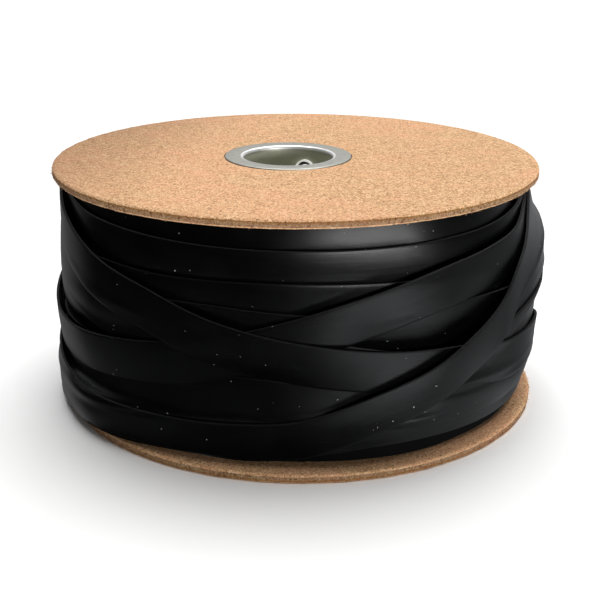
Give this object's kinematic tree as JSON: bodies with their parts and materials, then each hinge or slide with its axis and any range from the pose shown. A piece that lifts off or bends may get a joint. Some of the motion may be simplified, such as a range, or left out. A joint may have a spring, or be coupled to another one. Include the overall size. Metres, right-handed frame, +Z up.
{
  "type": "reel of elastic",
  "caption": "Reel of flat black rubber elastic, wound crosswise on a steel tube between round boards of brown fibreboard.",
  "frame": {"origin": "on the surface the reel stands on, under the middle of its outline", "axes": "+Z up along the tube, -Y to the front as pictured, +X to the right of the picture"},
  "size_m": [0.2124, 0.2041, 0.1022],
  "materials": {
    "fibreboard": "matt",
    "steel": "satin",
    "rubber": "satin"
  },
  "bodies": {
    "root": {"board_bottom": "fibreboard", "board_top": "fibreboard", "core_tube": "steel", "wound_elastic": "rubber"}
  },
  "joints": []
}
